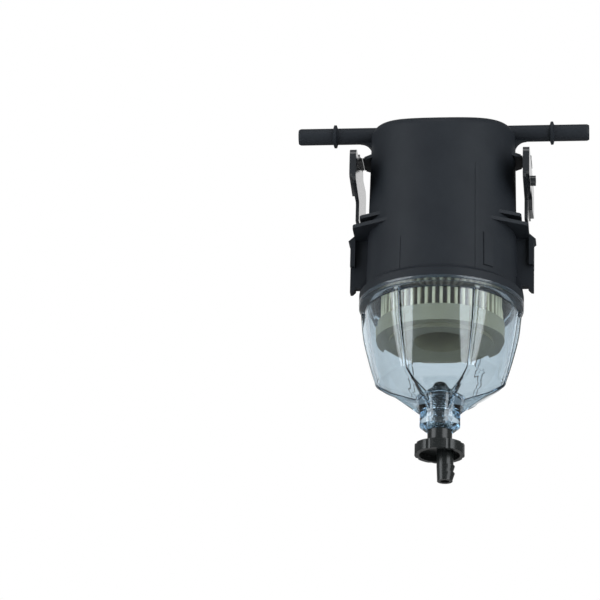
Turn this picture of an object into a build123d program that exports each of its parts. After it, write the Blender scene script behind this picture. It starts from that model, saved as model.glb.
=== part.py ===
"""Fuel water separator with two pipe ends, clip levers, a clear bowl and a drain valve.

Millimetres, +Z up, X along the pipes, -Y is the front. The origin is on the drum's axis,
on the underside of the lower ledges, which is where the unit seats on its bracket.
"""

import os
from math import cos, pi, radians, sin

from build123d import *

os.makedirs("parts", exist_ok=True)

# Levels of the housing, measured up from the joint between housing and bowl.
ledge_low_h = 39.5
ledge_low_thickness = 2.1
ledge_high_h = 45.2
ledge_high_thickness = 2.0
crown_h = 106.0
pipe_axis_h = 104.6
bridge_h = 87.2
bridge_thickness = 2.2

# Drum, its vaulted top and the weld ring at its foot. Each step is a distance in from the ring.
drum_top_radius = 40.9
drum_foot_step = 3.6
drum_wall = 3.0
vault_drop = 9.0
vault_rim_fillet = 5.0
ring_radius = 46.2
ring_height = 4.5
fairing_h = 7.5
fairing_side_h = 15.0
fairing_side_angle = 8.0
fairing_side_step = 0.9
fairing_side_mid_h = 9.8

# Low raised features moulded on the drum's front.
seam_band_angle = 31.0
seam_band_width = 2.4
seam_band_proud = 0.3
seam_band_long_h = 71.0
seam_band_short_h = 27.0
patch_angle = 41.0
patch_span = 8.6
patch_proud = 0.7
patch_low_h = 10.4
patch_high_h = 30.0
patch_corner = 4.5

# Pipe ends, made to the 3/8 inch quick connect size.
pipe_radius = 4.745
pipe_bore_radius = 3.5
pipe_tip_x = 83.0
pipe_tip_chamfer = 1.2
bead_x = 61.9
bead_radius = 6.65
bead_width = 2.6
gusset_reach = 6.4
gusset_thickness = 3.0
crown_boss_radius = 6.2
crown_boss_rise = 2.0
inlet_drop_x = -26.0
ridge_mark_proud = 0.4
ridge_mark_width = 0.9
ridge_marks_x = (11.8, 14.1, -33.0, -35.2)
spigot_radius = 7.0
spigot_end_h = 82.0

# Ledges and the rail block that the bracket slides on, both mirrored to the other side.
ledge_tip_x = 27.0
ledge_front_y = 31.4
ledge_corner_x = 48.5
ledge_corner_y = 19.5
ledge_corner_cut = 1.6
ledge_low_reach = 49.3
ledge_high_reach = 45.4
ledge_high_corner_x = 44.4
ledge_high_tip_x = 31.5
ledge_high_front_y = 26.3
ledge_notch_x = 42.9
ledge_notch_low_y = -10.5
ledge_notch_high_y = 10.0
rail_web_low_h = 11.0
rail_web_reach = 49.0
rail_web_y = 5.0
rail_bar_low_h = 23.0
rail_bar_reach = 51.7
rail_bar_front_y = -3.0
rail_bar_back_y = 7.0
rail_hook_reach = 52.9
rail_hook_h = 38.3
rail_hook_slope = 1.0
rail_tab_low_h = 8.2
rail_tab_inner = 48.6
rail_tab_chamfer = 1.8

# Release levers and the living hinge that carries each.
hinge_x = 45.5
hinge_film = 0.9
hinge_split = 0.2
hinge_lead = 1.0
hinge_to_lever = 1.2
lever_plate = 1.9
lever_pad = 1.8
lever_stem_low_h = 48.1
lever_stem_front_y = -9.0
lever_stem_back_y = 8.5
lever_bar_half = 33.6
lever_bar_low_h = 59.9
lever_bar_end_h = 64.0
lever_bar_top_h = 83.0
lever_corner_high = 5.0
lever_corner_low = 2.5
lever_hump_foot_half = 14.0
lever_hump_top_half = 11.0
lever_pad_step = 1.6
lever_pad_notch_foot = 12.0
lever_pad_notch_top = 9.0
lever_pad_notch_h = 67.6
lever_lug_front_y = -7.0
lever_lug_back_y = 9.0
lever_lug_corner = 2.0
bridge_body_half = 12.0
bridge_neck_front_y = -7.5
bridge_neck_back_y = 8.0
stud_radius = 2.95
stud_bore_radius = 1.6
stud_y = -0.8
stud_h = 74.8
stud_length = 2.4

# Clear bowl. Each row is a level below the joint, then how far in from the weld ring the wall
# stands at a flat and at a corner.
bowl_wall = 2.0
bowl_rim_z = -3.3
bowl_rim_step = 1.7
bowl_side_rows = [
    (-5.0, 3.2, 3.0),
    (-20.0, 5.2, 4.8),
    (-33.0, 8.2, 7.3),
    (-41.5, 10.8, 9.2),
    (-48.4, 13.4, 11.1),
]
bowl_floor_rows = [bowl_side_rows[-1], (-53.8, 22.7, 21.4), (-56.6, 32.6, 32.55)]
bowl_floor_lift = 2.0
bowl_rib_width = 3.6
bowl_rib_crest = [(1.0, -5.0), (1.5, -12.0), (2.4, -19.0), (3.9, -25.5), (5.4, -31.0)]
bowl_rib_end = [(7.4, -36.0), (9.0, -41.5), (10.8, -48.0)]
bowl_rib_floor = [(21.4, -54.6), (24.2, -55.0)]
bowl_rib_foot_z = -66.2
bowl_rib_floor_width = 2.0
bowl_neck_top_radius = 13.7
bowl_neck_radius = 11.3
bowl_neck_taper_z = -65.2
bowl_neck_chamfer_z = -72.3
bowl_neck_end_z = -75.2
bowl_neck_end_radius = 7.8
valve_pocket_radius = 8.4
valve_pocket_z = -56.1
valve_seal_bore_top_z = -68.4

# Filter element. Levels are from the joint, so positive ones lie inside the housing.
cap_inset = 10.7
cap_lower_top_z = -12.9
cap_lower_bottom_z = -22.3
cap_foot_step = 6.1
cap_foot_z = -24.3
cap_well_radius = 15.3
cap_well_depth = 14.0
cap_skin = 1.5
media_inset = 1.6
media_inner_radius = 20.4
media_lower_z = -20.4
media_crest_depth = 3.2
media_valley_depth = 1.2
pleat_count = 50
tube_radius = 18.6
tube_wall = 1.4
tube_slot_rows = 4
tube_slot_columns = 4
tube_slot_width = 12.0
tube_slot_height = 14.0
tube_slot_depth = 5.6
cap_upper_skirt = 9.4
cap_upper_top = 2.0
grommet_wall = 2.6
grommet_height = 5.0
grommet_drop = 1.25
seal_gap = 0.05

# Drain valve, levels from the joint.
nose_tip_z = -45.4
nose_shoulder_radius = 3.0
nose_shoulder_z = -46.7
nose_radius = 5.0
nose_base_z = -49.8
flange_radius = 7.2
flange_top_z = -50.6
flange_bottom_z = -54.0
stem_radius = 5.0
stem_gap = 0.1
stem_end_z = -71.5
thread_depth = 0.6
thread_top_z = -56.4
thread_end_z = -67.6
collar_top_z = -72.0
collar_radius = 6.9
seal_bore_radius = 7.1
wheel_top_z = -83.5
wheel_height = 5.7
wheel_radius = 13.9
wheel_top = 2.0
wheel_wall = 2.6
wheel_lobes = 8
wheel_scallop_radius = 3.0
wheel_scallop_depth = 0.6
barb_offset = 3.1
barb_radius = 4.7
barb_tooth_radius = 5.5
barb_tooth_arc = 140.0
barb_teeth_z = [(-95.7, -99.8), (-99.8, -103.6)]
barb_tip_z = -104.4
barb_tip_radius = 4.3
barb_bore_radius = 2.4
stem_bore_radius = 1.9
drain_hole_radius = 1.1
drain_hole_z = -58.6
ring_section = 1.0
collar_ring_section = 0.9
collar_ring_z = -74.0

# Values that follow from those above.
seam_z = -ledge_low_h
pipe_z = seam_z + pipe_axis_h
crown_z = seam_z + crown_h
bridge_z = seam_z + bridge_h
ring_top_z = seam_z + ring_height
drum_foot_radius = ring_radius - drum_foot_step
fairing_side_radius = ring_radius - fairing_side_step
vault_radius = (drum_top_radius**2 + vault_drop**2) / (2 * vault_drop)
vault_centre_z = crown_z - vault_radius
drum_inner_foot = drum_foot_radius - drum_wall
drum_inner_top = drum_top_radius - drum_wall
drum_inside = min(drum_inner_foot, drum_inner_top)
hexagon_reach = 1 / cos(radians(30))
ledge_inside = drum_top_radius - drum_wall / 2
pipe_axis = Axis((0, 0, pipe_z), (1, 0, 0))
barb_axis = Axis((barb_offset, 0, 0), (0, 0, 1))
lever_inner_x = hinge_x + hinge_to_lever
lever_outer_x = lever_inner_x + lever_plate
lever_pad_x = lever_outer_x + lever_pad
lever_hump_z = bridge_z + bridge_thickness / 2
lever_slope = (lever_bar_end_h - lever_bar_low_h) / (lever_bar_half - lever_stem_back_y)
pad_notch_rise = lever_slope * (lever_pad_notch_foot - lever_stem_back_y)
pad_notch_z = seam_z + lever_bar_low_h + pad_notch_rise + lever_pad_step
bowl_wall_top_z = bowl_side_rows[0][0]
bowl_wall_foot_z = bowl_side_rows[-1][0]
bowl_neck_top_z = bowl_floor_rows[-1][0] + bowl_floor_lift
cap_radius = ring_radius - cap_inset
cap_foot_radius = cap_radius - cap_foot_step
media_outer_radius = cap_radius - media_inset
media_upper_h = spigot_end_h
tube_inner_radius = tube_radius - tube_wall
collar_ring_radius = seal_bore_radius - seal_gap - collar_ring_section
groove_floor_radius = collar_ring_radius - collar_ring_section
scallop_place = wheel_radius + wheel_scallop_radius - wheel_scallop_depth


def drum_radius(height):
    """Outer radius of the drafted drum at a height above the joint."""
    share = height / crown_h
    return drum_foot_radius + (drum_top_radius - drum_foot_radius) * share


def radial_plane(angle, axis_x=0):
    """Upright plane through the axis at axis_x, its local X outward at the angle from +X."""
    outward = (cos(radians(angle)), sin(radians(angle)), 0)
    across = (sin(radians(angle)), -cos(radians(angle)), 0)
    return Plane(origin=(axis_x, 0, 0), x_dir=outward, z_dir=across)


def corner_fillet(flat_radius, corner_radius):
    """Fillet that gives a hexagon the wanted radius at its flats and at its corners."""
    return (flat_radius * hexagon_reach - corner_radius) / (hexagon_reach - 1)


def round_bar_ends(outline):
    """Round the upper and the lower corner at both ends of a lever outline."""
    for radius, place in ((lever_corner_high, -1), (lever_corner_low, 0)):
        columns = outline.vertices().group_by(Axis.X)
        ends = [column.sort_by(Axis.Y)[place] for column in (columns[0], columns[-1])]
        fillet(ends, radius)


def down(points):
    """Radius and level pairs, with the level counted from the joint."""
    return [(radius, seam_z + level) for radius, level in points]


def in_from_ring(points):
    """Radius and level pairs from pairs of a step in from the weld ring and a level."""
    return [(ring_radius - step, level) for step, level in points]


def wall_section(row, wall=0.0, lift=0.0):
    """Hexagonal section of the bowl's outside at a row, or of its inside with wall and lift."""
    level, flat_step, corner_step = row
    flat = ring_radius - flat_step
    corner = ring_radius - corner_step
    with BuildSketch(Plane.XY.offset(seam_z + level + lift)) as section:
        RegularPolygon((flat - wall) * hexagon_reach, 6)
        fillet(section.vertices(), corner_fillet(flat, corner) - wall)
    return section.sketch.face()


# The hollow inside the drum, cut out of the housing further on.
with BuildPart() as drum_hollow:
    with BuildSketch(Plane.XZ):
        with BuildLine():
            Polyline(
                (0, seam_z),
                (drum_inner_foot, seam_z),
                (drum_inner_top, crown_z),
                (0, crown_z),
                close=True,
            )
        make_face()
    revolve(axis=Axis.Z)
    with BuildSketch(Plane.YZ):
        with Locations((0, vault_centre_z)):
            Circle(vault_radius - drum_wall)
    extrude(amount=ring_radius, both=True, mode=Mode.INTERSECT)
    hollow_rim = drum_hollow.faces().sort_by(Axis.Z)[-1].edges()
    fillet(hollow_rim, vault_rim_fillet - drum_wall)

# Raised patch on the drum's front, with one round corner.
with BuildPart() as front_patch:
    with BuildSketch(radial_plane(-90 + patch_angle - patch_span / 2)):
        with BuildLine():
            Polyline(
                (drum_inside, seam_z + patch_low_h),
                (drum_radius(patch_low_h) + patch_proud, seam_z + patch_low_h),
                (drum_radius(patch_high_h) + patch_proud, seam_z + patch_high_h),
                (drum_inside, seam_z + patch_high_h),
                close=True,
            )
        make_face()
    revolve(axis=Axis.Z, revolution_arc=patch_span)
    patch_end = front_patch.faces().filter_by(GeomType.PLANE).sort_by(Axis.X)[-1]
    fillet(patch_end.edges().sort_by(Axis.Z)[-1], patch_corner)

# Housing: drum, vaulted top, weld ring, pipes, ledges, rails and hinge bridges, one moulding.
with BuildPart() as housing:
    with BuildSketch(Plane.XZ):
        with BuildLine():
            Polyline(
                (0, seam_z),
                (drum_foot_radius, seam_z),
                (drum_top_radius, crown_z),
                (0, crown_z),
                close=True,
            )
        make_face()
    revolve(axis=Axis.Z)
    with BuildSketch(Plane.YZ):
        with Locations((0, vault_centre_z)):
            Circle(vault_radius)
    extrude(amount=ring_radius, both=True, mode=Mode.INTERSECT)
    fillet(housing.faces().sort_by(Axis.Z)[-1].edges(), vault_rim_fillet)
    # Weld ring, with a soft fairing up to the drum all round and a higher one at each rail.
    with BuildSketch(Plane.XZ):
        with BuildLine():
            Polyline(
                (drum_inside, seam_z),
                (ring_radius, seam_z),
                (ring_radius, ring_top_z),
                (drum_radius(fairing_h), seam_z + fairing_h),
                (drum_inside, seam_z + fairing_h),
                close=True,
            )
        make_face()
    revolve(axis=Axis.Z)
    for middle in (0, 180):
        with BuildSketch(radial_plane(middle - fairing_side_angle)):
            with BuildLine():
                Polyline(
                    (drum_inside, ring_top_z),
                    (ring_radius, ring_top_z),
                    (fairing_side_radius, seam_z + fairing_side_mid_h),
                    (drum_radius(fairing_side_h), seam_z + fairing_side_h),
                    (drum_inside, seam_z + fairing_side_h),
                    close=True,
                )
            make_face()
        revolve(axis=Axis.Z, revolution_arc=2 * fairing_side_angle)
    # Raised seam bands and the raised patch on the front.
    band_span = 180 * seam_band_width / (pi * drum_foot_radius)
    bands = ((seam_band_angle, seam_band_long_h), (-seam_band_angle, seam_band_short_h))
    for angle, top_h in bands:
        with BuildSketch(radial_plane(-90 + angle - band_span / 2)):
            with BuildLine():
                Polyline(
                    (drum_inside, ring_top_z),
                    (drum_radius(ring_height) + seam_band_proud, ring_top_z),
                    (drum_radius(top_h) + seam_band_proud, seam_z + top_h),
                    (drum_inside, seam_z + top_h),
                    close=True,
                )
            make_face()
        revolve(axis=Axis.Z, revolution_arc=band_span)
    add(front_patch.part)
    for side in (1, -1):
        # Lower ledge, its underside on the origin plane.
        with BuildSketch(Plane.XY):
            with BuildLine():
                Polyline(
                    (side * ledge_tip_x, -ledge_front_y),
                    (side * ledge_corner_x, -ledge_corner_y),
                    (side * ledge_low_reach, -ledge_corner_y + ledge_corner_cut),
                    (side * ledge_low_reach, ledge_corner_y - ledge_corner_cut),
                    (side * ledge_corner_x, ledge_corner_y),
                    (side * ledge_tip_x, ledge_front_y),
                    (side * ledge_tip_x, -ledge_front_y),
                )
            make_face()
        extrude(amount=ledge_low_thickness)
        # Upper ledge, notched for the lever's stem.
        with BuildSketch(Plane.XY.offset(seam_z + ledge_high_h)):
            with BuildLine():
                Polyline(
                    (side * ledge_high_tip_x, -ledge_high_front_y),
                    (side * ledge_high_corner_x, -ledge_corner_y),
                    (side * ledge_high_reach, -ledge_corner_y + ledge_corner_cut),
                    (side * ledge_high_reach, ledge_notch_low_y),
                    (side * ledge_notch_x, ledge_notch_low_y),
                    (side * ledge_notch_x, ledge_notch_high_y),
                    (side * ledge_high_reach, ledge_notch_high_y),
                    (side * ledge_high_reach, ledge_corner_y - ledge_corner_cut),
                    (side * ledge_high_corner_x, ledge_corner_y),
                    (side * ledge_high_tip_x, ledge_high_front_y),
                    (side * ledge_high_tip_x, -ledge_high_front_y),
                )
            make_face()
        extrude(amount=ledge_high_thickness)
        # Rail block: web, bar with its hook ridge, and the tab below.
        with BuildSketch(Plane.XZ.offset(-rail_web_y)):
            with BuildLine():
                Polyline(
                    (side * ledge_inside, seam_z + rail_web_low_h),
                    (side * rail_web_reach, seam_z + rail_web_low_h),
                    (side * rail_web_reach, 0),
                    (side * ledge_inside, 0),
                    close=True,
                )
            make_face()
        extrude(amount=rail_web_y)
        with BuildSketch(Plane.XZ.offset(-rail_bar_back_y)):
            with BuildLine():
                Polyline(
                    (side * rail_web_reach, seam_z + rail_bar_low_h),
                    (side * rail_bar_reach, seam_z + rail_bar_low_h),
                    (side * rail_bar_reach, seam_z + rail_hook_h - rail_hook_slope),
                    (side * rail_hook_reach, seam_z + rail_hook_h),
                    (side * ledge_low_reach, ledge_low_thickness),
                    (side * rail_web_reach, ledge_low_thickness),
                    close=True,
                )
            make_face()
        extrude(amount=rail_bar_back_y - rail_bar_front_y)
        with BuildSketch(Plane.XZ.offset(-rail_web_y)):
            with BuildLine():
                Polyline(
                    (side * rail_tab_inner, seam_z + rail_tab_low_h + rail_tab_chamfer),
                    (side * (rail_tab_inner + rail_tab_chamfer), seam_z + rail_tab_low_h),
                    (side * rail_bar_reach, seam_z + rail_tab_low_h),
                    (side * rail_bar_reach, seam_z + rail_bar_low_h),
                    (side * rail_tab_inner, seam_z + rail_bar_low_h),
                    close=True,
                )
            make_face()
        extrude(amount=rail_web_y)
        # Hinge bridge, waisted to the thin film at its neck.
        with BuildSketch(Plane.XY.offset(bridge_z - bridge_thickness / 2)):
            with BuildLine():
                Polyline(
                    (side * ledge_inside, -bridge_body_half),
                    (side * (hinge_x - hinge_lead), bridge_neck_front_y),
                    (side * (hinge_x - hinge_lead), bridge_neck_back_y),
                    (side * ledge_inside, bridge_body_half),
                    close=True,
                )
            make_face()
        extrude(amount=bridge_thickness)
        with BuildSketch(Plane.XY.offset(bridge_z - hinge_film / 2)):
            with BuildLine():
                Polyline(
                    (side * ledge_inside, bridge_neck_front_y),
                    (side * (hinge_x - hinge_split / 2), bridge_neck_front_y),
                    (side * (hinge_x - hinge_split / 2), bridge_neck_back_y),
                    (side * ledge_inside, bridge_neck_back_y),
                    close=True,
                )
            make_face()
        extrude(amount=hinge_film)
        # Web under the pipe's root, with a round hollow edge.
        with BuildSketch(Plane.XZ.offset(-gusset_thickness / 2)):
            with BuildLine():
                gusset_arc = CenterArc(
                    (side * (drum_top_radius + gusset_reach), pipe_z - pipe_radius - gusset_reach),
                    gusset_reach,
                    90,
                    side * 90,
                )
                Polyline(
                    gusset_arc @ 1,
                    (side * ledge_inside, pipe_z - pipe_radius - gusset_reach),
                    (side * ledge_inside, pipe_z),
                    (side * (drum_top_radius + gusset_reach), pipe_z),
                    gusset_arc @ 0,
                )
            make_face()
        extrude(amount=gusset_thickness)
    add(drum_hollow.part, mode=Mode.SUBTRACT)
    # Pipe run: both quick connect ends and the ridge that carries them across the crown.
    with BuildSketch(Plane.XZ):
        with BuildLine():
            Polyline(
                (-pipe_tip_x, pipe_z),
                (-pipe_tip_x, pipe_z + pipe_radius - pipe_tip_chamfer / 2),
                (-pipe_tip_x + pipe_tip_chamfer, pipe_z + pipe_radius),
                (-bead_x - bead_width / 2, pipe_z + pipe_radius),
                (-bead_x - bead_width / 4, pipe_z + bead_radius),
                (-bead_x + bead_width / 4, pipe_z + bead_radius),
                (-bead_x + bead_width / 2, pipe_z + pipe_radius),
                (bead_x - bead_width / 2, pipe_z + pipe_radius),
                (bead_x - bead_width / 4, pipe_z + bead_radius),
                (bead_x + bead_width / 4, pipe_z + bead_radius),
                (bead_x + bead_width / 2, pipe_z + pipe_radius),
                (pipe_tip_x - pipe_tip_chamfer, pipe_z + pipe_radius),
                (pipe_tip_x, pipe_z + pipe_radius - pipe_tip_chamfer / 2),
                (pipe_tip_x, pipe_z),
                close=True,
            )
        make_face()
    revolve(axis=pipe_axis)
    # Fine marks across the ridge.
    for mark_x in ridge_marks_x:
        with BuildSketch(Plane.YZ.offset(mark_x)):
            with Locations((0, pipe_z)):
                Circle(pipe_radius + ridge_mark_proud)
        extrude(amount=ridge_mark_width)
    # Domed boss over the outlet, and the outlet spigot below it.
    with Locations((0, 0, pipe_z + crown_boss_rise)):
        Sphere(crown_boss_radius)
    with BuildSketch(Plane.XY.offset(seam_z + spigot_end_h)):
        Circle(spigot_radius)
    extrude(amount=pipe_z - seam_z - spigot_end_h)
    # Passages: inlet from the left drops into the drum, outlet rises from the spigot.
    with BuildSketch(Plane.YZ.offset(-pipe_tip_x)):
        with Locations((0, pipe_z)):
            Circle(pipe_bore_radius)
    extrude(amount=pipe_tip_x + inlet_drop_x, mode=Mode.SUBTRACT)
    with BuildSketch(Plane.YZ):
        with Locations((0, pipe_z)):
            Circle(pipe_bore_radius)
    extrude(amount=pipe_tip_x, mode=Mode.SUBTRACT)
    with BuildSketch(Plane.XY.offset(seam_z + spigot_end_h)):
        Circle(pipe_bore_radius)
    extrude(amount=pipe_z - seam_z - spigot_end_h, mode=Mode.SUBTRACT)
    with BuildSketch(Plane.XY.offset(pipe_z - 2 * pipe_radius)):
        with Locations((inlet_drop_x - pipe_bore_radius, 0)):
            Circle(pipe_bore_radius)
    extrude(amount=2 * pipe_radius, mode=Mode.SUBTRACT)

# Lever without its stud: plate with stem and hump, raised pad, and the lug at the hinge.
with BuildPart() as lever_blank:
    with BuildSketch(Plane.YZ.offset(lever_inner_x)) as lever_outline:
        with BuildLine():
            Polyline(
                (lever_stem_front_y, seam_z + lever_stem_low_h),
                (lever_stem_back_y, seam_z + lever_stem_low_h),
                (lever_stem_back_y, seam_z + lever_bar_low_h),
                (lever_bar_half, seam_z + lever_bar_end_h),
                (lever_bar_half, seam_z + lever_bar_top_h),
                (lever_hump_foot_half, seam_z + lever_bar_top_h),
                (lever_hump_top_half, lever_hump_z),
                (-lever_hump_top_half, lever_hump_z),
                (-lever_hump_foot_half, seam_z + lever_bar_top_h),
                (-lever_bar_half, seam_z + lever_bar_top_h),
                (-lever_bar_half, seam_z + lever_bar_end_h),
                (lever_stem_front_y, seam_z + lever_bar_low_h),
                close=True,
            )
        make_face()
        round_bar_ends(lever_outline)
    extrude(amount=lever_plate)
    with BuildSketch(Plane.YZ.offset(lever_outer_x)) as pad_outline:
        with BuildLine():
            Polyline(
                (lever_bar_half, seam_z + lever_bar_end_h + lever_pad_step),
                (lever_bar_half, seam_z + lever_bar_top_h),
                (-lever_bar_half, seam_z + lever_bar_top_h),
                (-lever_bar_half, seam_z + lever_bar_end_h + lever_pad_step),
                (-lever_pad_notch_foot, pad_notch_z),
                (-lever_pad_notch_top, seam_z + lever_pad_notch_h),
                (lever_pad_notch_top, seam_z + lever_pad_notch_h),
                (lever_pad_notch_foot, pad_notch_z),
                close=True,
            )
        make_face()
        round_bar_ends(pad_outline)
    extrude(amount=lever_pad)
    with BuildSketch(Plane.XY.offset(bridge_z - bridge_thickness / 2)) as lug_outline:
        with BuildLine():
            Polyline(
                (hinge_x + hinge_lead, bridge_neck_front_y),
                (lever_inner_x, lever_lug_front_y),
                (lever_pad_x, lever_lug_front_y),
                (lever_pad_x, lever_lug_back_y),
                (lever_inner_x, lever_lug_back_y),
                (hinge_x + hinge_lead, bridge_neck_back_y),
                close=True,
            )
        make_face()
        fillet(lug_outline.vertices().sort_by(Axis.X)[-2:], lever_lug_corner)
    extrude(amount=bridge_thickness)
    with BuildSketch(Plane.XY.offset(bridge_z - hinge_film / 2)):
        with BuildLine():
            Polyline(
                (hinge_x + hinge_split / 2, bridge_neck_front_y),
                (lever_inner_x, bridge_neck_front_y),
                (lever_inner_x, bridge_neck_back_y),
                (hinge_x + hinge_split / 2, bridge_neck_back_y),
                close=True,
            )
        make_face()
    extrude(amount=hinge_film)

with BuildPart() as release_lever_left:
    mirror(lever_blank.part, about=Plane.YZ)

with BuildPart() as release_lever_right:
    add(lever_blank.part)
    # Hollow stud, on this side only.
    with BuildSketch(Plane.YZ.offset(lever_pad_x)):
        with Locations((stud_y, seam_z + stud_h)):
            Circle(stud_radius)
            Circle(stud_bore_radius, mode=Mode.SUBTRACT)
    extrude(amount=stud_length)

# The hollow of the bowl, its floor parallel to the outer one.
with BuildPart() as bowl_hollow:
    loft([wall_section(row, wall=bowl_wall) for row in bowl_side_rows])
    inner_floor = [wall_section(bowl_floor_rows[0], wall=bowl_wall)]
    inner_floor += [wall_section(row, lift=bowl_floor_lift) for row in bowl_floor_rows[1:]]
    loft(inner_floor, ruled=True)
    with BuildSketch(Plane.XY.offset(seam_z + bowl_wall_top_z)):
        Circle(drum_inner_foot)
    extrude(amount=-bowl_wall_top_z)

# Clear bowl with its rim, six ribs down to the neck and the bores for the drain valve.
with BuildPart() as bowl:
    loft([wall_section(row) for row in bowl_side_rows])
    loft([wall_section(row) for row in bowl_floor_rows], ruled=True)
    with BuildSketch(Plane.XZ):
        with BuildLine():
            Polyline(
                down(
                    [
                        (0, 0),
                        (ring_radius, 0),
                        (ring_radius, bowl_rim_z),
                        (ring_radius - bowl_rim_step, bowl_wall_top_z),
                        (0, bowl_wall_top_z),
                    ]
                ),
                close=True,
            )
        make_face()
    revolve(axis=Axis.Z)
    for corner_number in range(6):
        with BuildSketch(radial_plane(60 * corner_number)):
            with BuildLine():
                Polyline(
                    down([(bowl_neck_radius, bowl_rim_z)])
                    + down(in_from_ring([(bowl_rib_crest[0][0], bowl_rim_z)]))
                    + down(in_from_ring(bowl_rib_crest + bowl_rib_end))
                    + down([(bowl_neck_radius, bowl_wall_foot_z)]),
                    close=True,
                )
            make_face()
        extrude(amount=bowl_rib_width / 2, both=True)
        with BuildSketch(radial_plane(60 * corner_number)):
            with BuildLine():
                Polyline(
                    down(in_from_ring([bowl_rib_end[-1]] + bowl_rib_floor))
                    + down([(bowl_neck_radius - bowl_rib_floor_width / 2, bowl_rib_foot_z)])
                    + down([(bowl_neck_radius - bowl_rib_floor_width / 2, bowl_wall_foot_z)]),
                    close=True,
                )
            make_face()
        extrude(amount=bowl_rib_floor_width / 2, both=True)
    add(bowl_hollow.part, mode=Mode.SUBTRACT)
    with BuildSketch(Plane.XZ):
        with BuildLine():
            Polyline(
                down(
                    [
                        (0, bowl_neck_top_z),
                        (bowl_neck_top_radius, bowl_neck_top_z),
                        (bowl_neck_top_radius, bowl_floor_rows[-1][0]),
                        (bowl_neck_radius, bowl_neck_taper_z),
                        (bowl_neck_radius, bowl_neck_chamfer_z),
                        (bowl_neck_end_radius, bowl_neck_end_z),
                        (0, bowl_neck_end_z),
                    ]
                ),
                close=True,
            )
        make_face()
    revolve(axis=Axis.Z)
    with BuildSketch(Plane.XZ):
        with BuildLine():
            Polyline(
                down(
                    [
                        (0, bowl_neck_top_z),
                        (valve_pocket_radius, bowl_neck_top_z),
                        (valve_pocket_radius, valve_pocket_z),
                        (stem_radius + stem_gap, valve_pocket_z),
                        (stem_radius + stem_gap, valve_seal_bore_top_z),
                        (seal_bore_radius, valve_seal_bore_top_z),
                        (seal_bore_radius, bowl_neck_end_z),
                        (0, bowl_neck_end_z),
                    ]
                ),
                close=True,
            )
        make_face()
    revolve(axis=Axis.Z, mode=Mode.SUBTRACT)

# Lower end cap: cup round the media, stepped foot and the blind well in its middle.
with BuildPart() as lower_end_cap:
    with BuildSketch(Plane.XZ):
        with BuildLine():
            Polyline(
                down(
                    [
                        (cap_radius, cap_lower_top_z),
                        (cap_radius, cap_lower_bottom_z),
                        (cap_foot_radius, cap_lower_bottom_z),
                        (cap_foot_radius, cap_foot_z),
                        (cap_foot_radius - cap_skin, cap_foot_z),
                        (cap_well_radius, cap_lower_bottom_z),
                        (cap_well_radius, cap_foot_z + cap_well_depth),
                        (0, cap_foot_z + cap_well_depth),
                        (0, cap_foot_z + cap_well_depth + cap_skin),
                        (tube_inner_radius - seal_gap, cap_foot_z + cap_well_depth + cap_skin),
                        (tube_inner_radius - seal_gap, media_lower_z),
                        (cap_radius - cap_skin, media_lower_z),
                        (cap_radius - cap_skin, cap_lower_top_z),
                    ]
                ),
                close=True,
            )
        make_face()
    revolve(axis=Axis.Z)

# Upper end cap: the same cup turned over, with a collar for the grommet.
with BuildPart() as upper_end_cap:
    with BuildSketch(Plane.XZ):
        with BuildLine():
            Polyline(
                down(
                    [
                        (cap_radius, media_upper_h + cap_upper_top - cap_upper_skirt),
                        (cap_radius, media_upper_h + cap_upper_top),
                        (spigot_radius + grommet_wall, media_upper_h + cap_upper_top),
                        (spigot_radius + grommet_wall, media_upper_h),
                        (cap_radius - cap_skin, media_upper_h),
                        (cap_radius - cap_skin, media_upper_h + cap_upper_top - cap_upper_skirt),
                    ]
                ),
                close=True,
            )
        make_face()
    revolve(axis=Axis.Z)

# Perforated centre tube between the caps.
with BuildPart() as centre_tube:
    with BuildSketch(Plane.XY.offset(seam_z + media_lower_z)):
        Circle(tube_radius)
        Circle(tube_inner_radius, mode=Mode.SUBTRACT)
    extrude(amount=media_upper_h - media_lower_z)
    slot_pitch = (media_upper_h - media_lower_z) / (tube_slot_rows + 1)
    for row in range(1, tube_slot_rows + 1):
        level = seam_z + media_lower_z + row * slot_pitch
        with BuildSketch(Plane.XY.offset(level)):
            with PolarLocations(tube_radius, tube_slot_columns):
                Rectangle(tube_slot_depth, tube_slot_width)
        extrude(amount=tube_slot_height / 2, both=True, mode=Mode.SUBTRACT)

# Pleated media, one closed zigzag sheet.
with BuildPart() as pleated_media:
    with BuildSketch(Plane.XY.offset(seam_z + media_lower_z)):
        half_turn = 180 / pleat_count
        outer_rim = []
        inner_rim = []
        for pleat in range(pleat_count):
            crest = radians(2 * half_turn * pleat)
            valley = radians(2 * half_turn * pleat + half_turn)
            outer_rim.append((media_outer_radius * cos(crest), media_outer_radius * sin(crest)))
            outer_rim.append((media_inner_radius * cos(valley), media_inner_radius * sin(valley)))
            inner_crest = media_outer_radius - media_crest_depth
            inner_valley = media_inner_radius - media_valley_depth
            inner_rim.append((inner_crest * cos(crest), inner_crest * sin(crest)))
            inner_rim.append((inner_valley * cos(valley), inner_valley * sin(valley)))
        Polygon(*outer_rim, align=None)
        Polygon(*inner_rim, align=None, mode=Mode.SUBTRACT)
    extrude(amount=media_upper_h - media_lower_z)

# Rubber grommet that seals the upper cap on the spigot.
with BuildPart() as element_grommet:
    with BuildSketch(Plane.XY.offset(seam_z + media_upper_h - grommet_drop)):
        Circle(spigot_radius + grommet_wall)
        Circle(spigot_radius, mode=Mode.SUBTRACT)
    extrude(amount=grommet_height)

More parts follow.
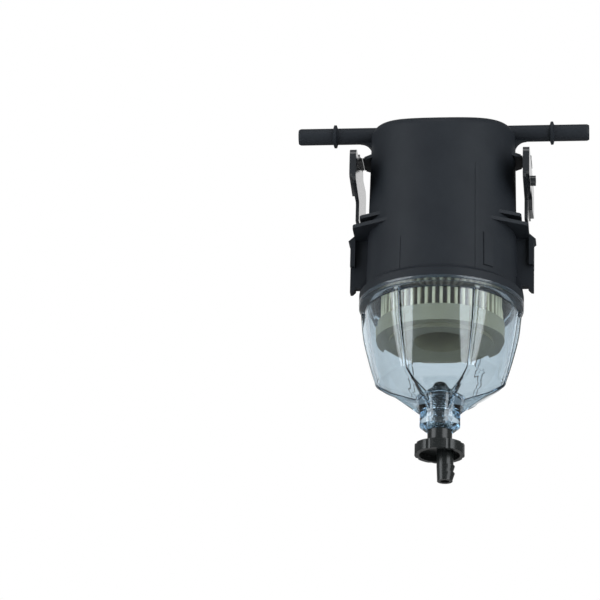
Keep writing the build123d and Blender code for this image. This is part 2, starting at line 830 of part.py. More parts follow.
# Drain valve: nose, flange, stem, collar, handwheel and hose barb, one moulding.
with BuildPart() as drain_valve:
    with BuildSketch(Plane.XZ):
        with BuildLine():
            nose = Spline(
                down(
                    [
                        (0, nose_tip_z),
                        (nose_shoulder_radius, nose_shoulder_z),
                        (nose_radius, nose_base_z),
                    ]
                )
            )
            Polyline(
                nose @ 1,
                (flange_radius, seam_z + flange_top_z),
                (flange_radius, seam_z + flange_bottom_z),
                (stem_radius, seam_z + flange_bottom_z),
                (stem_radius, seam_z + thread_top_z),
                (stem_radius - thread_depth, seam_z + thread_top_z),
                (stem_radius - thread_depth, seam_z + thread_end_z),
                (stem_radius, seam_z + thread_end_z),
                (stem_radius, seam_z + stem_end_z),
                (collar_radius - collar_ring_section, seam_z + collar_top_z),
                (collar_radius, seam_z + collar_top_z),
                (collar_radius, seam_z + collar_ring_z + collar_ring_section),
                (groove_floor_radius, seam_z + collar_ring_z + collar_ring_section),
                (groove_floor_radius, seam_z + collar_ring_z - collar_ring_section),
                (collar_radius, seam_z + collar_ring_z - collar_ring_section),
                (collar_radius, seam_z + wheel_top_z),
                (0, seam_z + wheel_top_z),
                (0, seam_z + nose_tip_z),
            )
        make_face()
    revolve(axis=Axis.Z)
    # Scalloped handwheel, hollow underneath.
    with BuildSketch(Plane.XY.offset(seam_z + wheel_top_z)):
        Circle(wheel_radius)
        with PolarLocations(scallop_place, wheel_lobes, start_angle=180 / wheel_lobes):
            Circle(wheel_scallop_radius, mode=Mode.SUBTRACT)
    extrude(amount=-wheel_height)
    with BuildSketch(Plane.XY.offset(seam_z + wheel_top_z - wheel_height)):
        Circle(wheel_radius - wheel_wall)
    extrude(amount=wheel_height - wheel_top, mode=Mode.SUBTRACT)
    # Hose barb, set off the axis, its teeth only on the outer side.
    with BuildSketch(Plane.XZ):
        with BuildLine():
            Polyline(
                (barb_offset, seam_z + wheel_top_z - wheel_top / 2),
                (barb_offset + barb_radius, seam_z + wheel_top_z - wheel_top / 2),
                (barb_offset + barb_radius, seam_z + barb_teeth_z[0][0]),
                (barb_offset + barb_tip_radius, seam_z + barb_tip_z),
                (barb_offset, seam_z + barb_tip_z),
                close=True,
            )
        make_face()
    revolve(axis=barb_axis)
    for tooth_high_z, tooth_low_z in barb_teeth_z:
        with BuildSketch(radial_plane(-barb_tooth_arc / 2, barb_offset)):
            with BuildLine():
                Polyline(
                    down(
                        [
                            (barb_bore_radius, tooth_high_z),
                            (barb_tooth_radius, tooth_high_z),
                            (barb_tip_radius, tooth_low_z),
                            (barb_bore_radius, tooth_low_z),
                        ]
                    ),
                    close=True,
                )
            make_face()
        revolve(axis=barb_axis, revolution_arc=barb_tooth_arc)
    # Drain passage: a cross hole under the flange, the stem's bore and the barb's bore.
    with BuildSketch(Plane.XY.offset(seam_z + barb_tip_z)):
        with Locations((barb_offset, 0)):
            Circle(barb_bore_radius)
    extrude(amount=wheel_top_z - barb_tip_z, mode=Mode.SUBTRACT)
    with BuildSketch(Plane.XY.offset(seam_z + wheel_top_z - wheel_top / 2)):
        Circle(stem_bore_radius)
    extrude(amount=drain_hole_z - wheel_top_z + wheel_top / 2, mode=Mode.SUBTRACT)
    with BuildSketch(Plane.YZ):
        with Locations((0, seam_z + drain_hole_z)):
            Circle(drain_hole_radius)
    extrude(amount=2 * stem_radius, both=True, mode=Mode.SUBTRACT)

# Sealing rings of the valve.
with BuildPart() as drain_o_ring_upper:
    with BuildSketch(Plane.XZ):
        with Locations((stem_radius + ring_section, seam_z + flange_bottom_z - ring_section)):
            Circle(ring_section)
    revolve(axis=Axis.Z)

with BuildPart() as drain_o_ring_lower:
    with BuildSketch(Plane.XZ):
        with Locations((collar_ring_radius, seam_z + collar_ring_z)):
            Circle(collar_ring_section)
    revolve(axis=Axis.Z)

housing.part.label = "housing"
release_lever_left.part.label = "release_lever_left"
release_lever_right.part.label = "release_lever_right"
bowl.part.label = "bowl"
pleated_media.part.label = "pleated_media"
upper_end_cap.part.label = "upper_end_cap"
lower_end_cap.part.label = "lower_end_cap"
centre_tube.part.label = "centre_tube"
element_grommet.part.label = "element_grommet"
drain_valve.part.label = "drain_valve"
drain_o_ring_upper.part.label = "drain_o_ring_upper"
drain_o_ring_lower.part.label = "drain_o_ring_lower"

export_step(housing.part, "parts/housing.step")
export_step(release_lever_left.part, "parts/release_lever_left.step")
export_step(release_lever_right.part, "parts/release_lever_right.step")
export_step(bowl.part, "parts/bowl.step")
export_step(pleated_media.part, "parts/pleated_media.step")
export_step(upper_end_cap.part, "parts/upper_end_cap.step")
export_step(lower_end_cap.part, "parts/lower_end_cap.step")
export_step(centre_tube.part, "parts/centre_tube.step")
export_step(element_grommet.part, "parts/element_grommet.step")
export_step(drain_valve.part, "parts/drain_valve.step")
export_step(drain_o_ring_upper.part, "parts/drain_o_ring_upper.step")
export_step(drain_o_ring_lower.part, "parts/drain_o_ring_lower.step")
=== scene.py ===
"""Looks of the fuel water separator: materials, fine shapes, studio and camera.

Metres in the part's own frame: +Z up, X along the pipes, -Y is the front.
"""

from math import asin, atan2, cos, hypot, pi, radians, sin, sqrt

import bpy
from mathutils import Matrix, Vector


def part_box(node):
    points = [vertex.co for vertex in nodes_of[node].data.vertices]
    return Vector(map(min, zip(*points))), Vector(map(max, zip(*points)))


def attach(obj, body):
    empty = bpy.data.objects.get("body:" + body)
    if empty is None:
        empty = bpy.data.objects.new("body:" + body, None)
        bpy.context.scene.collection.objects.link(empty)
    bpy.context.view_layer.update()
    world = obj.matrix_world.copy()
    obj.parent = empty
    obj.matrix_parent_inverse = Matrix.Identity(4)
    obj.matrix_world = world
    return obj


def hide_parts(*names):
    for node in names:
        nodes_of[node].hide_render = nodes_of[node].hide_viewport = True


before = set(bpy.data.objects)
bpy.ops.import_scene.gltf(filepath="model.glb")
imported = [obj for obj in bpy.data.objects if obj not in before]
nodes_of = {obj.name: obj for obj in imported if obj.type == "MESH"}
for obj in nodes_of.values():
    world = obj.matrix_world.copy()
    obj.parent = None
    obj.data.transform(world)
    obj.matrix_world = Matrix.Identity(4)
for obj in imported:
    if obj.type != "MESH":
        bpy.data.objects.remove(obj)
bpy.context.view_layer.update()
media_low, media_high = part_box("pleated_media")
bowl_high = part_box("bowl")[1]


# Small helpers for shader trees.
def tree_of(material):
    """The material's emptied node tree with its output node."""
    material.use_nodes = True
    tree = material.node_tree
    tree.nodes.clear()
    output = tree.nodes.new("ShaderNodeOutputMaterial")
    return tree, output


def place(tree):
    """Where a surface point is in the part's frame, in metres."""
    return tree.nodes.new("ShaderNodeTexCoord").outputs["Object"]


def noise(tree, where, scale, detail=2.0, stretch=(1, 1, 1)):
    """Noise value over the part, stretched along the axes."""
    mapping = tree.nodes.new("ShaderNodeMapping")
    mapping.inputs["Scale"].default_value = stretch
    tree.links.new(where, mapping.inputs["Vector"])
    node = tree.nodes.new("ShaderNodeTexNoise")
    node.inputs["Scale"].default_value = scale
    node.inputs["Detail"].default_value = detail
    tree.links.new(mapping.outputs["Vector"], node.inputs["Vector"])
    return node.outputs["Fac"]


def ranged(tree, value, low, high, start=0.3, stop=0.7):
    """The value, its range from start to stop carried over to low and high."""
    node = tree.nodes.new("ShaderNodeMapRange")
    node.inputs["From Min"].default_value = start
    node.inputs["From Max"].default_value = stop
    node.inputs["To Min"].default_value = low
    node.inputs["To Max"].default_value = high
    tree.links.new(value, node.inputs["Value"])
    return node.outputs["Result"]


def blended(tree, factor, first, second):
    """Colour between two colours."""
    node = tree.nodes.new("ShaderNodeMix")
    node.data_type = "RGBA"
    node.inputs["A"].default_value = (*first, 1)
    node.inputs["B"].default_value = (*second, 1)
    tree.links.new(factor, node.inputs["Factor"])
    return node.outputs["Result"]


def bumped(tree, height, strength, distance):
    """Surface normal shaken by a height value."""
    node = tree.nodes.new("ShaderNodeBump")
    node.inputs["Strength"].default_value = strength
    node.inputs["Distance"].default_value = distance
    tree.links.new(height, node.inputs["Height"])
    return node.outputs["Normal"]


def plastic(name, dark, light, rough_low, rough_high, grain, bump, specular=0.5):
    """Moulded plastic or rubber with fine grain and slightly uneven gloss."""
    material = bpy.data.materials.new(name)
    tree, output = tree_of(material)
    where = place(tree)
    shader = tree.nodes.new("ShaderNodeBsdfPrincipled")
    shader.inputs["Specular IOR Level"].default_value = specular
    broad = noise(tree, where, 60, 3)
    fine = noise(tree, where, grain, 2)
    colour = blended(tree, ranged(tree, broad, 0, 1), dark, light)
    tree.links.new(colour, shader.inputs["Base Color"])
    tree.links.new(ranged(tree, fine, rough_low, rough_high), shader.inputs["Roughness"])
    tree.links.new(bumped(tree, fine, bump, 0.0002), shader.inputs["Normal"])
    tree.links.new(shader.outputs["BSDF"], output.inputs["Surface"])
    return material


def clear_plastic(name, frost_low, frost_high):
    """Clear moulding, its blue tint deeper where it is thick, frosted up towards the rim."""
    material = bpy.data.materials.new(name)
    tree, output = tree_of(material)
    where = place(tree)
    shader = tree.nodes.new("ShaderNodeBsdfPrincipled")
    shader.inputs["Base Color"].default_value = (0.755, 0.82, 0.857, 1)
    shader.inputs["Transmission Weight"].default_value = 1.0
    shader.inputs["IOR"].default_value = 1.53
    uneven = noise(tree, where, 90, 2)
    parts = tree.nodes.new("ShaderNodeSeparateXYZ")
    tree.links.new(where, parts.inputs["Vector"])
    frosting = ranged(tree, parts.outputs["Z"], 0.0, 0.2, frost_low, frost_high)
    rough = tree.nodes.new("ShaderNodeMath")
    tree.links.new(ranged(tree, uneven, 0.0, 0.04), rough.inputs[0])
    tree.links.new(frosting, rough.inputs[1])
    tree.links.new(rough.outputs["Value"], shader.inputs["Roughness"])
    tree.links.new(bumped(tree, uneven, 0.03, 0.001), shader.inputs["Normal"])
    through = tree.nodes.new("ShaderNodeBsdfTransparent")
    through.inputs["Color"].default_value = (0.86, 0.91, 0.95, 1)
    path = tree.nodes.new("ShaderNodeLightPath")
    mixed = tree.nodes.new("ShaderNodeMixShader")
    tree.links.new(path.outputs["Is Shadow Ray"], mixed.inputs["Fac"])
    tree.links.new(shader.outputs["BSDF"], mixed.inputs[1])
    tree.links.new(through.outputs["BSDF"], mixed.inputs[2])
    tree.links.new(mixed.outputs["Shader"], output.inputs["Surface"])
    tint = tree.nodes.new("ShaderNodeVolumeAbsorption")
    tint.inputs["Color"].default_value = (0.14, 0.45, 0.66, 1)
    tint.inputs["Density"].default_value = 40.0
    tree.links.new(tint.outputs["Volume"], output.inputs["Volume"])
    return material


def paper(name, fold_shade_radius, pale_radius):
    """Resin treated filter sheet with fibres, pale on the crests of its folds and darkened deep in
    them by painted shade.
    """
    material = bpy.data.materials.new(name)
    tree, output = tree_of(material)
    where = place(tree)
    shader = tree.nodes.new("ShaderNodeBsdfPrincipled")
    shader.inputs["Sheen Weight"].default_value = 0.15
    fibres = noise(tree, where, 700, 4, (1, 1, 0.25))
    patches = noise(tree, where, 120, 2)
    flat = tree.nodes.new("ShaderNodeMapping")
    flat.inputs["Scale"].default_value = (1, 1, 0)
    tree.links.new(where, flat.inputs["Vector"])
    distance = tree.nodes.new("ShaderNodeVectorMath")
    distance.operation = "LENGTH"
    tree.links.new(flat.outputs["Vector"], distance.inputs[0])
    crest = blended(tree, ranged(tree, patches, 0, 1), (0.56, 0.495, 0.32), (0.68, 0.605, 0.4))
    # Painted shade: the sheet's colour darkens to dark brown towards the axis, deep in its folds,
    # where shade falls.
    fold_shade_factor = ranged(tree, distance.outputs["Value"], 0, 1, fold_shade_radius, pale_radius)
    colour = tree.nodes.new("ShaderNodeMix")
    colour.data_type = "RGBA"
    colour.inputs["A"].default_value = (0.13, 0.088, 0.03, 1)
    tree.links.new(crest, colour.inputs["B"])
    tree.links.new(fold_shade_factor, colour.inputs["Factor"])
    tree.links.new(colour.outputs["Result"], shader.inputs["Base Color"])
    tree.links.new(ranged(tree, fibres, 0.7, 0.95), shader.inputs["Roughness"])
    tree.links.new(bumped(tree, fibres, 0.4, 0.0003), shader.inputs["Normal"])
    tree.links.new(shader.outputs["BSDF"], output.inputs["Surface"])
    return material


body_plastic = plastic(
    "moulded_body", (0.0085, 0.0108, 0.0145), (0.0112, 0.014, 0.0178), 0.54, 0.64, 2600, 0.10, 0.17
)
lever_plastic = plastic(
    "moulded_lever", (0.0125, 0.0145, 0.0165), (0.016, 0.018, 0.0205), 0.12, 0.18, 2600, 0.03
)
valve_plastic = plastic(
    "moulded_valve", (0.0075, 0.0092, 0.009), (0.0105, 0.0122, 0.012), 0.22, 0.3, 1800, 0.05, 0.34
)
cap_plastic = plastic(
    "moulded_cap", (0.168, 0.15, 0.09), (0.196, 0.176, 0.106), 0.4, 0.55, 1400, 0.08
)
fused_plastic = plastic(
    "fused_seam", (0.04, 0.05, 0.06), (0.055, 0.067, 0.08), 0.4, 0.5, 1400, 0.05
)
rubber = plastic("seal_rubber", (0.012, 0.012, 0.012), (0.02, 0.02, 0.02), 0.5, 0.65, 3000, 0.08)
# Painted shade in the filter sheet's folds: full from this depth inside its outer radius, fading
# out towards pale_depth.
fold_shade_depth = 0.0027
pale_depth = 0.0003
filter_paper = paper("filter_paper", media_high.x - fold_shade_depth, media_high.x - pale_depth)
frost_start = 0.0048
frost_full = 0.0042
bowl_plastic = clear_plastic("clear_bowl", bowl_high.z - frost_start, bowl_high.z - frost_full)

material_of = {
    "housing": body_plastic,
    "release_lever_left": lever_plastic,
    "release_lever_right": lever_plastic,
    "bowl": bowl_plastic,
    "pleated_media": filter_paper,
    "upper_end_cap": cap_plastic,
    "lower_end_cap": cap_plastic,
    "centre_tube": cap_plastic,
    "element_grommet": rubber,
    "drain_valve": valve_plastic,
    "drain_o_ring_upper": rubber,
    "drain_o_ring_lower": rubber,
}
for node_name, material in material_of.items():
    node = nodes_of[node_name]
    node.data.materials.clear()
    node.data.materials.append(material)


def piece(name, vertices, faces, material, body, smooth=True):
    """A mesh of the part, placed in its frame and riding on a body."""
    mesh = bpy.data.meshes.new(name)
    mesh.from_pydata(vertices, [], faces)
    mesh.materials.append(material)
    for polygon in mesh.polygons:
        polygon.use_smooth = smooth
    thing = bpy.data.objects.new(name, mesh)
    bpy.context.scene.collection.objects.link(thing)
    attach(thing, body)
    return thing


# Pleated media: one folded sheet with round folds, in the place of its CAD node.
pleat_count = 50
fold_outer = 0.0005
fold_inner = 0.0004
sheet_half = 0.00033
fold_steps = 7
media_radius = media_high.x
media_core = 0.0204
outer_centre = media_radius - fold_outer - sheet_half
inner_centre = media_core + fold_inner + sheet_half


def fold_line():
    """Points and outward normals along the middle of the folded sheet, once round."""
    line = []
    for pleat in range(pleat_count):
        for centre, size, turn, way in (
            (outer_centre, fold_outer, 2 * pi * pleat / pleat_count, 1),
            (inner_centre, fold_inner, 2 * pi * (pleat + 0.5) / pleat_count, -1),
        ):
            radial = Vector((cos(turn), sin(turn)))
            across = Vector((-sin(turn), cos(turn)))
            for step in range(fold_steps):
                bend = radians(-90 + 180 * step / (fold_steps - 1))
                out = way * cos(bend) * radial + sin(bend) * across
                line.append((centre * radial + size * out, way * out))
    return line


sheet_line = fold_line()
sheet_points = []
for level in (media_low.z, media_high.z):
    for offset in (sheet_half, -sheet_half):
        for point, normal in sheet_line:
            edge = point + offset * normal
            sheet_points.append((edge.x, edge.y, level))
count = len(sheet_line)
sheet_faces = []
for here in range(count):
    there = (here + 1) % count
    sheet_faces.append((here, there, 2 * count + there, 2 * count + here))
    sheet_faces.append((count + there, count + here, 3 * count + here, 3 * count + there))
    sheet_faces.append((there, here, count + here, count + there))
    sheet_faces.append((2 * count + here, 2 * count + there, 3 * count + there, 3 * count + here))
folded_sheet = piece(
    "folded_sheet", sheet_points, sheet_faces, filter_paper, "unit"
)
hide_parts("pleated_media")

# Weld seam: the fused layer between the clear rim and the housing, just under their joint.
seam_sink = 0.00004
seam_thickness = 0.0003
seam_inset = 0.0006
seam_width = 0.0052
seam_top = bowl_high.z - seam_sink
seam_bottom = seam_top - seam_thickness
seam_outer = bowl_high.x - seam_inset
seam_inner = seam_outer - seam_width


def turned(name, outline, material, body, steps=128, closed=True):
    """Ring turned from radius and height pairs that run round its section."""
    points = []
    for step in range(steps):
        turn = 2 * pi * step / steps
        points += [(radius * cos(turn), radius * sin(turn), height) for radius, height in outline]
    size = len(outline)
    last = size if closed else size - 1
    sides = []
    for step in range(steps):
        here, there = step * size, (step + 1) % steps * size
        for corner in range(last):
            after = (corner + 1) % size
            sides.append((here + corner, there + corner, there + after, here + after))
    return piece(name, points, sides, material, body)


weld_section = [
    (seam_inner, seam_bottom),
    (seam_outer, seam_bottom),
    (seam_outer, seam_top),
    (seam_inner, seam_top),
]
turned("weld_seam", weld_section, fused_plastic, "unit")

# Clear bowl in the place of its CAD node: the same walls, with a small round fold between wall
# and floor, round ribs that narrow downward and the fine steps of the rim. Millimetres here,
# with levels measured from the joint between housing and bowl.
mm = 0.001
joint_z = bowl_high.z
bowl_wall = 2.0
wall_steps = 7
panel_columns = 40
hexagon_reach = 1 / cos(radians(30))
plain_rib_angle = radians(6)
rib_half_steps = 6
rib_squareness = 0.4
rib_bends = [pi / 2 * step / rib_half_steps for step in range(1 - rib_half_steps, rib_half_steps)]
rib_sides = [-1.0, *(sin(bend) for bend in rib_bends), 1.0]
rib_rises = [0.0, *(cos(bend) ** rib_squareness for bend in rib_bends), 0.0]

# Level, radius at a flat and at a corner, the rib's height and half width.
wall_rows = [
    (-5.6, 43.0, 43.2, 2.0, 1.8),
    (-20.0, 41.0, 41.4, 2.2, 1.6),
    (-33.0, 38.0, 38.9, 1.6, 1.4),
    (-41.5, 35.4, 37.0, 1.1, 1.25),
    (-45.8, 33.8, 35.7, 1.0, 1.2),
    (-47.05, 33.31, 35.4, 1.05, 1.2),
    (-48.24, 32.61, 34.7, 1.1, 1.2),
    (-49.12, 31.55, 33.6, 1.15, 1.2),
    (-51.3, 27.9, 29.7, 1.4, 1.15),
    (-52.3, 26.1, 27.7, 1.5, 1.15),
    (-52.95, 24.6, 25.8, 1.6, 1.1),
    (-54.2, 21.0, 21.7, 2.2, 1.05),
    (-55.4, 17.3, 17.6, 3.4, 1.05),
    (-56.6, 13.7, 13.7, 5.0, 1.0),
]

# Round rows, each a radius and a level: the rim's steps, the neck's end and up its seal bore,
# the valve's pocket in the floor, and the bowl's mouth.
rim_rows = [(46.19, -0.02), (46.19, -1.3), (45.7, -1.6), (45.7, -2.3), (46.1, -2.6), (46.1, -3.3)]
neck_end_rows = [(11.3, -65.8), (11.3, -69.0), (11.3, -72.3), (11.1, -72.8), (8.0, -75.1)]
neck_end_rows += [(7.7, -75.2), (7.1, -75.2), (7.1, -72.0), (7.1, -68.4), (5.1, -68.4)]
neck_end_rows += [(5.1, -66.0)]
pocket_rows = [(5.1, -56.1), (8.4, -56.1), (8.4, -54.6)]
mouth_rows = [(39.6, -3.6), (39.6, -0.02)]

# Where the ribs begin under the rim: level, the wall's radius and the rib's.
rib_start_rows = [(-4.2, 45.2, 45.25), (-5.0, 44.5, 45.2)]

# Below gusset_level each rib's crest runs straight on to the neck as a gusset.
gusset_level = -53.4
gusset_end = (11.35, -65.2)
neck_radius = 11.3
neck_taper_level = -65.2
neck_steps = 6

# Thread in the neck's bore.
bore_radius = 5.15
ridge_radius = 4.6
bore_foot = -64.4
bore_top = -56.5
bore_rows = 60
pitch = 1.5
groove_half = 0.1
ridge_start = 0.6
thread_start = -56.7


def cubic(share, first, second, first_rate, second_rate):
    """Value at a share of the way along the cubic curve between two ends."""
    return (
        (2 * share**3 - 3 * share**2 + 1) * first
        + (share**3 - 2 * share**2 + share) * first_rate
        + (3 * share**2 - 2 * share**3) * second
        + (share**3 - share**2) * second_rate
    )


def cubic_rate(share, first, second, first_rate, second_rate):
    """How fast that value changes there."""
    return (
        (6 * share**2 - 6 * share) * (first - second)
        + (3 * share**2 - 4 * share + 1) * first_rate
        + (3 * share**2 - 2 * share) * second_rate
    )


def smooth_rows(rows, steps):
    """Rows filled in along a smooth curve through the given ones, each with the wall's lean."""
    marks = [0.0]
    for first, second in zip(rows, rows[1:]):
        marks.append(marks[-1] + hypot(second[0] - first[0], second[1] - first[1]))
    rates = []
    for number in range(len(rows)):
        before = max(number - 1, 0)
        after = min(number + 1, len(rows) - 1)
        length = marks[after] - marks[before]
        rates.append([(end - start) / length for start, end in zip(rows[before], rows[after])])
    filled = []
    for number in range(len(rows) - 1):
        span = marks[number + 1] - marks[number]
        first_rates = [rate * span for rate in rates[number]]
        second_rates = [rate * span for rate in rates[number + 1]]
        ends = list(zip(rows[number], rows[number + 1], first_rates, second_rates))
        for step in range(steps):
            share = step / steps
            values = [cubic(share, *end) for end in ends]
            level_rate, radius_rate = (cubic_rate(share, *end) for end in ends[:2])
            filled.append((values, Vector((radius_rate, level_rate)).normalized()))
    lean = Vector((rows[-1][1] - rows[-2][1], rows[-1][0] - rows[-2][0])).normalized()
    filled.append((rows[-1], lean))
    return filled


def hexagon_radius(angle, flat, corner):
    """Distance from the axis to a hexagon with round corners, its corners at 0, 60 and so on."""
    turn = (angle + pi / 6) % (pi / 3) - pi / 6
    fillet = (flat * hexagon_reach - corner) / (hexagon_reach - 1)
    centre = corner - fillet
    limit = atan2(fillet / 2, centre + fillet * cos(pi / 6))
    if abs(turn) < limit:
        return centre * cos(turn) + sqrt(fillet**2 - (centre * sin(turn)) ** 2)
    return flat / cos(pi / 6 - abs(turn))


def in_frame(x, y, level):
    """Point in the part's frame."""
    return (x * mm, y * mm, joint_z + level * mm)


def on_wall(angle, flat, corner, level):
    """Point of a plain wall."""
    radius = hexagon_radius(angle, flat, corner)
    return in_frame(radius * cos(angle), radius * sin(angle), level)


def bowl_row(level, flat, corner, rib_points=None, rib_half=0.0):
    """One closed row of points; ribs, where there are any, as a radius and level per column."""
    half_angle = asin(rib_half / corner) if rib_points else plain_rib_angle
    row = []
    for number in range(6):
        middle = number * pi / 3
        for column, side in enumerate(rib_sides):
            if rib_points:
                radius, height = rib_points[column]
                across = side * rib_half
                reach = sqrt(radius**2 - across**2)
                x = reach * cos(middle) - across * sin(middle)
                y = reach * sin(middle) + across * cos(middle)
                row.append(in_frame(x, y, height))
            else:
                row.append(on_wall(middle + side * half_angle, flat, corner, level))
        start = middle + half_angle
        span = pi / 3 - 2 * half_angle
        for column in range(1, panel_columns):
            row.append(on_wall(start + span * column / panel_columns, flat, corner, level))
    return row


def ribbed_row(level, flat, corner, crest, half):
    """A row whose ribs rise to the crest, a radius and a level."""
    foot = hexagon_radius(asin(half / corner), flat, corner)
    points = []
    for rise in rib_rises:
        points.append((foot + (crest[0] - foot) * rise, level + (crest[1] - level) * rise))
    return bowl_row(level, flat, corner, points, half)


def round_rows(pairs):
    """Round rows without ribs, from radius and level pairs."""
    return [bowl_row(level, radius, radius) for radius, level in pairs]


def threaded_row(level):
    """A row of the neck's bore, its thread wound like the ridge on the valve's stem."""
    fade = min(1.0, (bore_top - level) / pitch, (level - bore_foot) / pitch)
    row = []
    for x, y, _ in bowl_row(level, bore_radius, bore_radius):
        angle = atan2(y, x)
        turns = (thread_start - level) / pitch - angle / (2 * pi)
        apart = abs(turns - round(turns)) * pitch
        share = min(max((apart - groove_half) / (ridge_start - groove_half), 0.0), 1.0)
        radius = bore_radius + (ridge_radius - bore_radius) * share * fade
        row.append(in_frame(radius * cos(angle), radius * sin(angle), level))
    return row


def gusset_rows(floor_walls, start):
    """Rows of the low floor and the neck, their ribs' crest straight from start to gusset_end."""
    walls = list(floor_walls)
    top_level, top_radius, _, _, half = wall_rows[-1]
    for step in range(1, neck_steps + 1):
        share = step / neck_steps
        radius = top_radius + (neck_radius - top_radius) * share
        level = top_level + (neck_taper_level - top_level) * share
        walls.append((level, radius, radius, half))
    rows = []
    for number, (level, flat, corner, half) in enumerate(walls, 1):
        share = number / len(walls)
        crest = [first + (second - first) * share for first, second in zip(start, gusset_end)]
        rows.append(ribbed_row(level, flat, corner, crest, half))
    return rows


def clear_bowl_rows():
    """All rows, from the rim down outside, round the neck's end and up again inside."""
    rows = round_rows(rim_rows)
    for level, radius, crest_radius in rib_start_rows:
        rows.append(ribbed_row(level, radius, radius, (crest_radius, level), wall_rows[0][-1]))
    filled = smooth_rows(wall_rows, wall_steps)
    floor_walls = []
    for (level, flat, corner, rise, half), lean in filled:
        if level < gusset_level:
            floor_walls.append((level, flat, corner, half))
        else:
            crest = (corner - lean.y * rise, level + lean.x * rise)
            rows.append(ribbed_row(level, flat, corner, crest, half))
    rows += gusset_rows(floor_walls, crest)
    rows += round_rows(neck_end_rows)
    for step in range(bore_rows + 1):
        rows.append(threaded_row(bore_foot + (bore_top - bore_foot) * step / bore_rows))
    rows += round_rows(pocket_rows)
    for (level, flat, corner, _, _), lean in reversed(filled):
        inset = -lean.y * bowl_wall
        rows.append(bowl_row(level - lean.x * bowl_wall, flat - inset, corner - inset))
    return rows + round_rows(mouth_rows)


def closed_skin(rows):
    """Points and faces of a skin over rows of equal length, the last joined to the first."""
    points = [point for row in rows for point in row]
    size = len(rows[0])
    faces = []
    for number in range(len(rows)):
        here, there = number * size, (number + 1) % len(rows) * size
        for column in range(size):
            beside = (column + 1) % size
            faces.append((here + column, there + column, there + beside, here + beside))
    return points, faces


bowl_points, bowl_faces = closed_skin(clear_bowl_rows())
moulded_bowl = piece(
    "moulded_bowl", bowl_points, bowl_faces, bowl_plastic, "unit"
)
moulded_bowl.data.set_sharp_from_angle(angle=radians(35))
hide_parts("bowl")

# Thread on the drain valve's stem: one ridge wound round the thread's root. Millimetres too.
thread_end = -67.0
thread_root = 4.4
thread_crest = 4.98
thread_sink = 0.1
ridge_foot_half = 0.62
ridge_crest_half = 0.12
thread_steps = 48


def wound_ridge():
    """Points and faces of the ridge: a trapezoid section carried down a helix."""
    foot = thread_root - thread_sink
    section = [
        (-ridge_foot_half, foot),
        (-ridge_crest_half, thread_crest),
        (ridge_crest_half, thread_crest),
        (ridge_foot_half, foot),
    ]
    total = int((thread_start - thread_end) / pitch * thread_steps)
    points = []
    for step in range(total + 1):
        turn = 2 * pi * step / thread_steps
        level = thread_start - pitch * step / thread_steps
        for rise, radius in section:
            points.append(in_frame(radius * cos(turn), radius * sin(turn), level + rise))
    sides = []
    for step in range(total):
        here, there = 4 * step, 4 * step + 4
        for corner in range(4):
            after = (corner + 1) % 4
            sides.append((here + corner, here + after, there + after, there + corner))
    sides.append((3, 2, 1, 0))
    sides.append((4 * total, 4 * total + 1, 4 * total + 2, 4 * total + 3))
    return points, sides


ridge_points, ridge_faces = wound_ridge()
piece(
    "stem_thread",
    ridge_points,
    ridge_faces,
    valve_plastic,
    "valve",
    smooth=False,
)

# Round top of the valve's nose, over its CAD surface: radius and level, from the tip down.
nose_rows = [(0.01, -45.42), (1.1, -45.47), (2.1, -45.72), (3.0, -46.25), (3.8, -47.05)]
nose_rows += [(4.45, -48.0), (4.9, -48.95), (5.06, -49.85), (4.6, -50.0)]
nose_outline = [(radius * mm, joint_z + level * mm) for radius, level in reversed(nose_rows)]
turned("nose_top", nose_outline, valve_plastic, "valve", 64, False)

# Studio: pale floor far below, white surroundings behind, soft lamps in front.
floor_z = -1.15
floor_half = 20.0
backdrop_edge = (0.86, 0.97)
plain_light = 0.35
reflected_light = 0.25


def studio_floor():
    """Pale floor, the same tone wherever a camera sees it."""
    mesh = bpy.data.meshes.new("floor")
    corners = [(-1, -1), (1, -1), (1, 1), (-1, 1)]
    points = [(floor_half * x, floor_half * y, floor_z) for x, y in corners]
    mesh.from_pydata(points, [], [(0, 1, 2, 3)])
    material = bpy.data.materials.new("floor")
    tree, output = tree_of(material)
    shader = tree.nodes.new("ShaderNodeBsdfPrincipled")
    shader.inputs["Base Color"].default_value = (0.8, 0.8, 0.8, 1)
    shader.inputs["Roughness"].default_value = 0.9
    glow = tree.nodes.new("ShaderNodeEmission")
    glow.inputs["Color"].default_value = (0.93, 0.93, 0.93, 1)
    path = tree.nodes.new("ShaderNodeLightPath")
    mixed = tree.nodes.new("ShaderNodeMixShader")
    tree.links.new(path.outputs["Is Camera Ray"], mixed.inputs["Fac"])
    tree.links.new(shader.outputs["BSDF"], mixed.inputs[1])
    tree.links.new(glow.outputs["Emission"], mixed.inputs[2])
    tree.links.new(mixed.outputs["Shader"], output.inputs["Surface"])
    mesh.materials.append(material)
    floor = bpy.data.objects.new("floor", mesh)
    bpy.context.scene.collection.objects.link(floor)


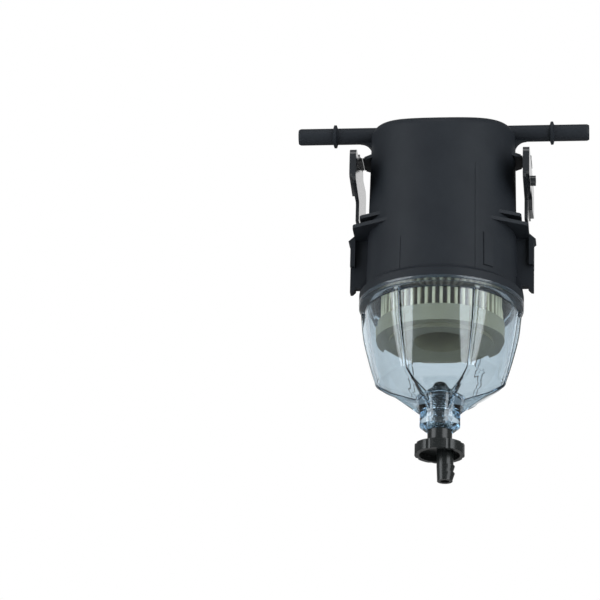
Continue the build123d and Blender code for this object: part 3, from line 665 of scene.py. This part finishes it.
def studio_world(behind, plain, reflected):
    """White to the camera and through glass; reflections see white only behind the part."""
    world = bpy.data.worlds.new("studio")
    bpy.context.scene.world = world
    world.use_nodes = True
    tree = world.node_tree
    tree.nodes.clear()
    output = tree.nodes.new("ShaderNodeOutputWorld")
    path = tree.nodes.new("ShaderNodeLightPath")
    where = tree.nodes.new("ShaderNodeTexCoord").outputs["Generated"]
    facing = tree.nodes.new("ShaderNodeVectorMath")
    facing.operation = "DOT_PRODUCT"
    facing.inputs[1].default_value = behind
    tree.links.new(where, facing.inputs[0])
    backdrop = ranged(tree, facing.outputs["Value"], reflected, 1.0, *backdrop_edge)
    seen = tree.nodes.new("ShaderNodeMath")
    seen.operation = "MAXIMUM"
    tree.links.new(path.outputs["Is Camera Ray"], seen.inputs[0])
    tree.links.new(path.outputs["Is Transmission Ray"], seen.inputs[1])
    glossy = tree.nodes.new("ShaderNodeMix")
    glossy.inputs["A"].default_value = plain
    tree.links.new(path.outputs["Is Glossy Ray"], glossy.inputs["Factor"])
    tree.links.new(backdrop, glossy.inputs["B"])
    strength = tree.nodes.new("ShaderNodeMix")
    strength.inputs["B"].default_value = 1.0
    tree.links.new(seen.outputs["Value"], strength.inputs["Factor"])
    tree.links.new(glossy.outputs["Result"], strength.inputs["A"])
    background = tree.nodes.new("ShaderNodeBackground")
    background.inputs["Color"].default_value = (1, 1, 1, 1)
    tree.links.new(strength.outputs["Result"], background.inputs["Strength"])
    tree.links.new(background.outputs["Background"], output.inputs["Surface"])


def soft_lamp(name, azimuth, elevation, distance, width, height, power, colour):
    """Rectangular lamp that faces the part, its place given as angles round the part."""
    turn, rise = radians(azimuth), radians(elevation)
    away = Vector((sin(turn) * cos(rise), -cos(turn) * cos(rise), sin(rise)))
    lamp = bpy.data.lights.new(name, "AREA")
    lamp.shape = "RECTANGLE"
    lamp.size = width
    lamp.size_y = height
    lamp.energy = power
    lamp.color = colour
    thing = bpy.data.objects.new(name, lamp)
    thing.location = away * distance
    thing.rotation_mode = "QUATERNION"
    thing.rotation_quaternion = (-away).to_track_quat("-Z", "Y")
    bpy.context.scene.collection.objects.link(thing)


# The camera of the upright copy in the photograph: below the part, looking up.
camera_place = Vector((0.12769, -1.86708, -0.78226))
camera_azimuth = radians(6.342026)
camera_elevation = radians(-21.68284)
camera_roll = radians(1.628142)
camera_lens = 215.286
camera_turn = (
    Matrix.Rotation(camera_azimuth, 4, "Z")
    @ Matrix.Rotation(pi / 2 - camera_elevation, 4, "X")
    @ Matrix.Rotation(camera_roll, 4, "Z")
)
camera_back = camera_turn.to_3x3() @ Vector((0, 0, 1))

camera_data = bpy.data.cameras.new("camera")
camera_data.sensor_width = 36.0
camera_data.lens = camera_lens
camera_data.clip_start = 0.05
camera_data.clip_end = 100.0
camera = bpy.data.objects.new("camera", camera_data)
camera.matrix_world = Matrix.Translation(camera_place) @ camera_turn
bpy.context.scene.collection.objects.link(camera)
bpy.context.scene.camera = camera
bpy.context.scene.view_settings.view_transform = "Standard"

studio_floor()
studio_world(-camera_back, plain_light, reflected_light)
white = (1, 1, 1)
cool_white = (0.93, 0.97, 1.0)
soft_lamp("lamp_left", -57, 5, 1.6, 1.1, 1.8, 27, cool_white)
soft_lamp("lamp_right", 52, 5, 1.6, 1.3, 1.8, 31, cool_white)
soft_lamp("lamp_top", 0, 60, 1.8, 1.4, 1.0, 10, white)
soft_lamp("lamp_below", 5, -40, 2.2, 1.2, 1.2, 6, white)
